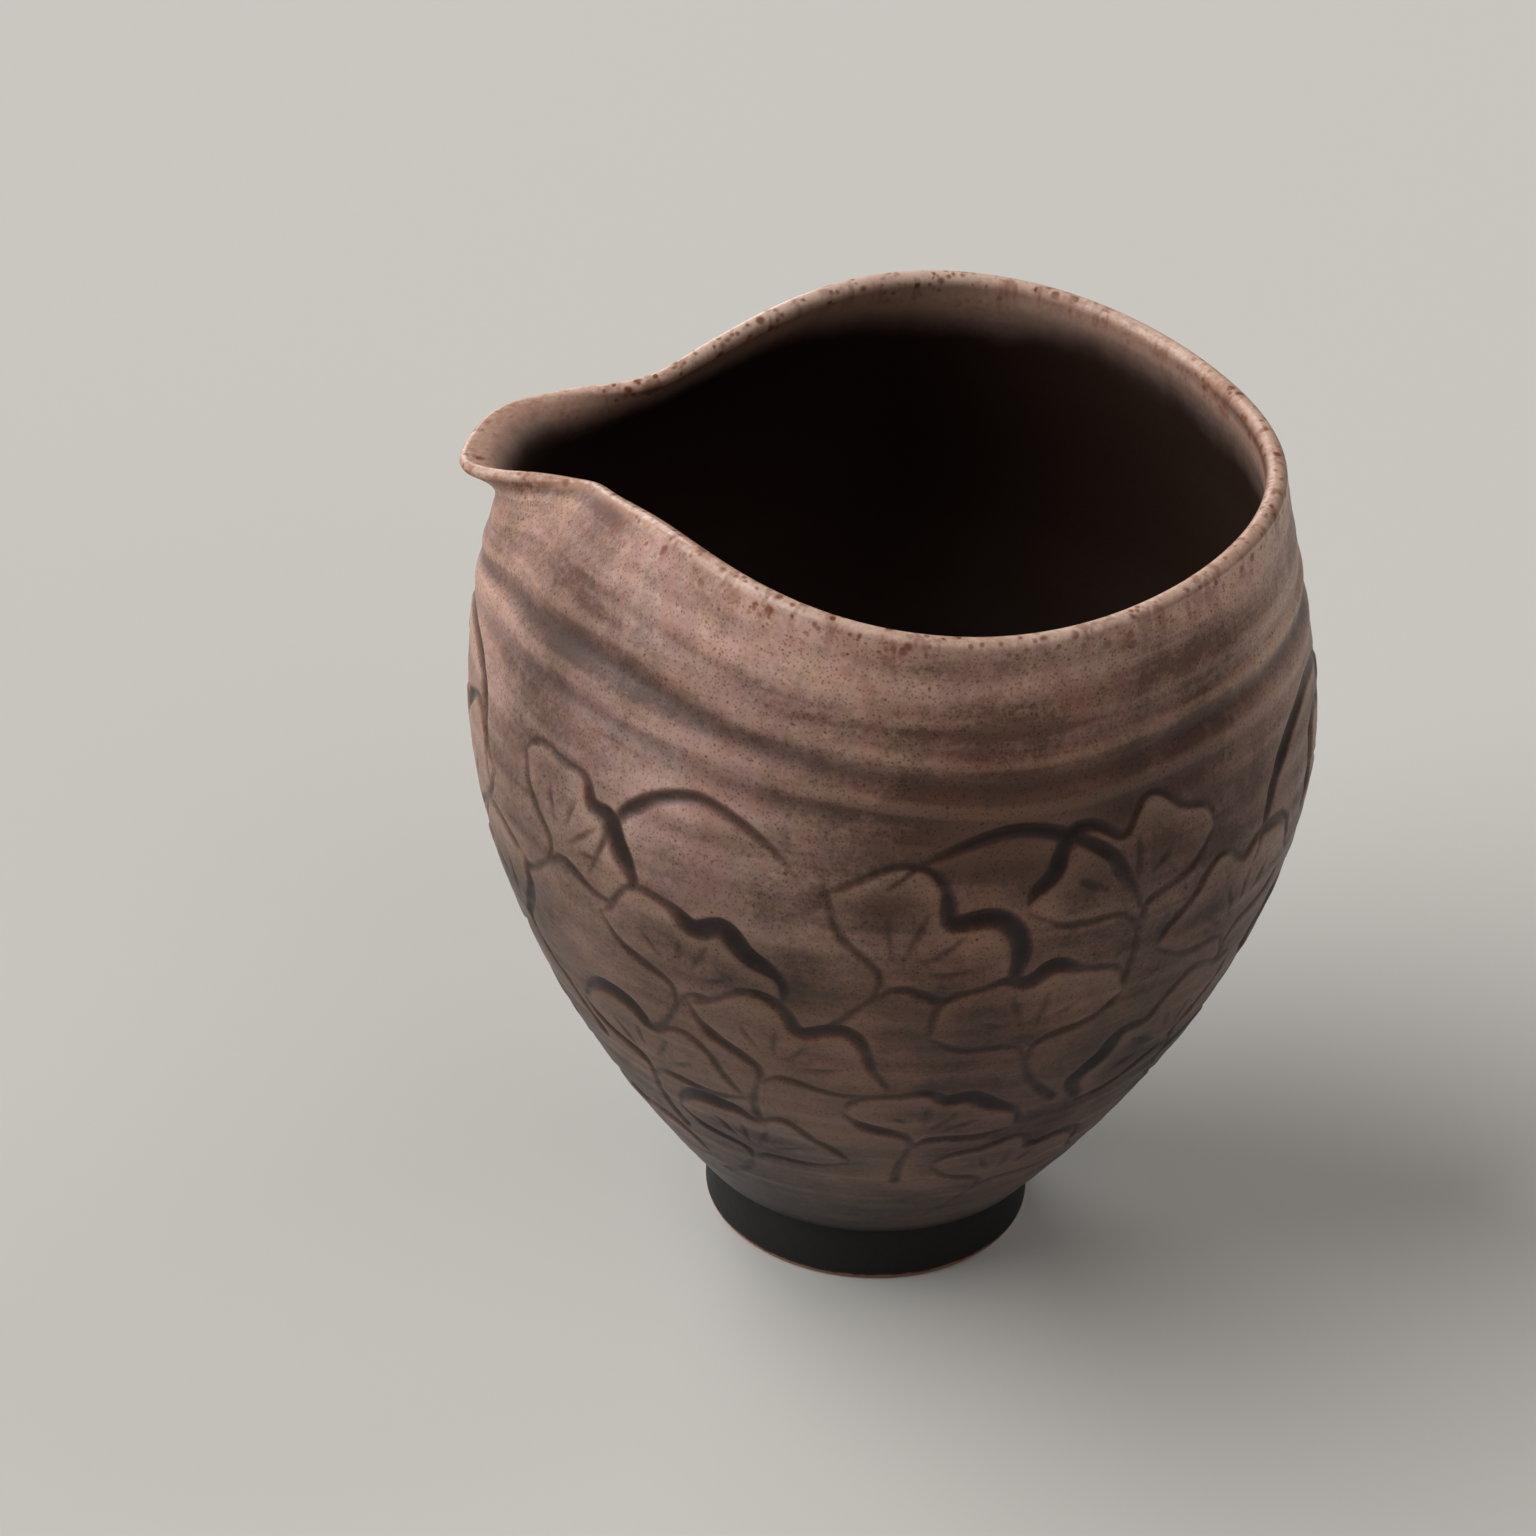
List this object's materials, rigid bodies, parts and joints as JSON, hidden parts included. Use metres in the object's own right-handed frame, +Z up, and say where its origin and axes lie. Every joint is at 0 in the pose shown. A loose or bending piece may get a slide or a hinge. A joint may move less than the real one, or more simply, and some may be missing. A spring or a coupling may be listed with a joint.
{
  "type": "tea pitcher",
  "caption": "Round-bellied stoneware tea pitcher with a narrow pulled spout, an undulating open rim and a turned foot ring, for pouring brewed tea.",
  "frame": {"origin": "middle of the space the pitcher takes, seen from above, on the surface it stands on", "axes": "+Z up, the spout points along -X, y = 0 is the plane of symmetry"},
  "size_m": [0.0862, 0.084, 0.0905],
  "materials": {
    "glazed_body": "satin mottled mauve-brown glaze over iron-bearing stoneware",
    "slip": "matte fired slip",
    "foot": "matte black wash over stoneware, bare at the standing edge"
  },
  "bodies": {
    "root": {"thrown_body": "glazed_body", "luting_slip": "slip", "foot_ring": "foot"}
  },
  "joints": []
}
